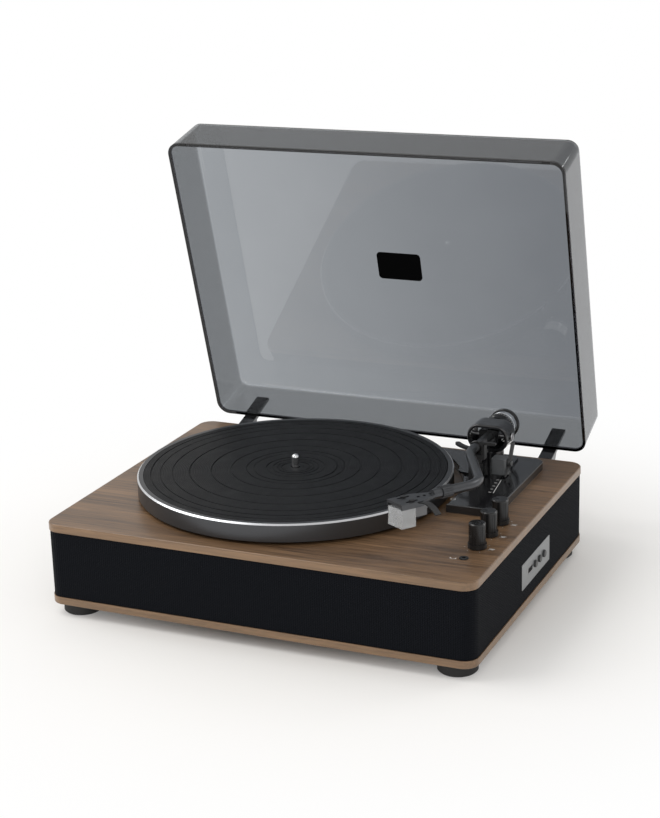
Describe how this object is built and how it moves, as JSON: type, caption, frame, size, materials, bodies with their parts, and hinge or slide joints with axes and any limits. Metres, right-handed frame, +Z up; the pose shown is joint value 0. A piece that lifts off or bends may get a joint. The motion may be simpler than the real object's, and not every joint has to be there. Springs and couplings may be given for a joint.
{
  "type": "record player",
  "caption": "Record player with a wooden case, cloth sides, belt-driven platter, S-shaped tonearm, knobs, side panel and a smoked hinged lid standing open",
  "frame": {"origin": "On the floor, under the middle of the box that holds the player with its lid open", "axes": "+X to the right and +Y to the rear, seen from the front; +Z up"},
  "size_m": [0.4213, 0.3995, 0.4113],
  "materials": {
    "veneer": "satin",
    "board": "raw",
    "cloth": "woven",
    "foot_rubber": "matte",
    "screw_steel": "brushed",
    "dark_steel": "satin",
    "paper_cone": "matte",
    "circuit_board": "satin",
    "bearing_brass": "satin",
    "platter_metal": "satin",
    "mat_rubber": "matte",
    "spindle_chrome": "polished",
    "knob_black": "gloss",
    "black_plastic": "matte",
    "side_silver": "satin",
    "socket_steel": "brushed",
    "base_gloss": "gloss",
    "gimbal_black": "gloss",
    "arm_grey": "satin",
    "cartridge_silver": "satin",
    "guard_clear": "translucent",
    "lid_smoke": "clear",
    "hinge_metal": "satin"
  },
  "bodies": {
    "cabinet": {"top_panel": "veneer", "bottom_panel": "veneer", "cabinet_frame": "board", "grille_cloth": "cloth", "feet": "foot_rubber", "foot_screws": "screw_steel", "speaker_frames": "dark_steel", "speaker_cones": "paper_cone", "main_board": "circuit_board", "bearing_housing": "bearing_brass", "motor_plate": "dark_steel", "motor": "dark_steel", "drive_belt": "foot_rubber", "control_boxes": "black_plastic", "headphone_jack": "black_plastic", "side_plate": "side_silver", "side_board": "circuit_board", "usb_socket": "socket_steel", "terminal_plate": "black_plastic", "phono_sockets": "socket_steel", "power_inlet": "black_plastic", "rocker_frame": "black_plastic", "arm_base": "base_gloss", "pivot_pillar": "base_gloss", "cue_block": "black_plastic", "arm_rest": "black_plastic", "hinge_sockets": "hinge_metal"},
    "platter": {"platter": "platter_metal", "platter_mat": "mat_rubber", "spindle": "spindle_chrome"},
    "pulley": {"motor_pulley": "bearing_brass"},
    "knob_1": {"control_knob_1": "knob_black"},
    "knob_2": {"control_knob_2": "knob_black"},
    "knob_3": {"control_knob_3": "knob_black"},
    "button_1": {"push_button_1": "side_silver"},
    "button_2": {"push_button_2": "side_silver"},
    "button_3": {"push_button_3": "side_silver"},
    "rocker": {"power_rocker": "black_plastic"},
    "gimbal": {"gimbal": "gimbal_black", "pivot_screws": "screw_steel"},
    "arm": {"pivot_block": "gimbal_black", "arm_tube": "arm_grey", "arm_collar": "arm_grey", "headshell": "arm_grey", "finger_lift": "black_plastic", "cartridge": "cartridge_silver", "cartridge_screws": "screw_steel", "stylus": "black_plastic"},
    "guard": {"stylus_guard": "guard_clear"},
    "weight": {"counterweight": "spindle_chrome"},
    "dial": {"weight_dial": "black_plastic"},
    "cue": {"cue_lever": "black_plastic"},
    "lift": {"arm_lift": "black_plastic"},
    "latch": {"rest_latch": "black_plastic"},
    "lid": {"lid": "lid_smoke", "hinge_brackets": "hinge_metal", "lid_pad": "foot_rubber", "lid_bumpers": "foot_rubber"}
  },
  "joints": [
    {"name": "lid_hinge", "type": "hinge", "parent": "cabinet", "child": "lid", "pos_m": [0, 0.13685, 0.077], "axis": [-1, 0, 0], "range_deg": [-74.5, 0]},
    {"name": "platter_spin", "type": "hinge", "parent": "cabinet", "child": "platter", "pos_m": [-0.03, -0.0322, 0.1], "axis": [0, 0, 1], "continuous": true},
    {"name": "pulley_spin", "type": "hinge", "parent": "cabinet", "child": "pulley", "pos_m": [-0.11485, -0.11705, 0.1], "axis": [0, 0, 1], "continuous": true},
    {"name": "knob_1_turn", "type": "hinge", "parent": "cabinet", "child": "knob_1", "pos_m": [0.185, -0.1202, 0.095], "axis": [0, 0, -1], "range_deg": [-135, 135]},
    {"name": "knob_2_turn", "type": "hinge", "parent": "cabinet", "child": "knob_2", "pos_m": [0.185, -0.0892, 0.095], "axis": [0, 0, -1], "range_deg": [-135, 135]},
    {"name": "knob_3_turn", "type": "hinge", "parent": "cabinet", "child": "knob_3", "pos_m": [0.185, -0.0582, 0.095], "axis": [0, 0, -1], "range_deg": [-135, 135]},
    {"name": "button_1_press", "type": "slide", "parent": "cabinet", "child": "button_1", "axis": [-1, 0, 0], "range_m": [0, 0.0008], "stiffness_N_per_m": 400},
    {"name": "button_2_press", "type": "slide", "parent": "cabinet", "child": "button_2", "axis": [-1, 0, 0], "range_m": [0, 0.0008], "stiffness_N_per_m": 400},
    {"name": "button_3_press", "type": "slide", "parent": "cabinet", "child": "button_3", "axis": [-1, 0, 0], "range_m": [0, 0.0008], "stiffness_N_per_m": 400},
    {"name": "power_rock", "type": "hinge", "parent": "cabinet", "child": "rocker", "pos_m": [-0.022, 0.1204, 0.05125], "axis": [1, 0, 0], "range_deg": [-7, 7]},
    {"name": "arm_swing", "type": "hinge", "parent": "cabinet", "child": "gimbal", "pos_m": [0.133, 0.0673, 0.13], "axis": [0, 0, -1], "range_deg": [0, 45]},
    {"name": "arm_dip", "type": "hinge", "parent": "gimbal", "child": "arm", "pos_m": [0.133, 0.0673, 0.13], "axis": [-1, 0, 0], "range_deg": [0, 10]},
    {"name": "guard_pull", "type": "slide", "parent": "arm", "child": "guard", "axis": [-0.5225, -0.8521, 0.0298], "range_m": [0, 0.02]},
    {"name": "weight_turn", "type": "hinge", "parent": "arm", "child": "weight", "pos_m": [0.133, 0.10128, 0.12881], "axis": [0, 0.9994, -0.0349], "range_deg": [-360, 360]},
    {"name": "dial_turn", "type": "hinge", "parent": "arm", "child": "dial", "pos_m": [0.133, 0.08729, 0.1293], "axis": [0, 0.9994, -0.0349], "range_deg": [-180, 180]},
    {"name": "cue_turn", "type": "hinge", "parent": "cabinet", "child": "cue", "pos_m": [0.15925, 0.0443, 0.111], "axis": [-1, 0, 0], "range_deg": [0, 45]},
    {"name": "lift_drop", "type": "slide", "parent": "cabinet", "child": "lift", "axis": [0, 0, -1], "range_m": [0, 0.005]},
    {"name": "latch_turn", "type": "hinge", "parent": "cabinet", "child": "latch", "pos_m": [0.143, 0.0133, 0.13999], "axis": [0, -1, 0], "range_deg": [0, 175]}
  ],
  "couplings": [
    {"joint": "pulley_spin", "follows": "platter_spin", "ratio": 20},
    {"joint": "cue_turn", "follows": "lift_drop", "rad_per_m": 157.07}
  ]
}
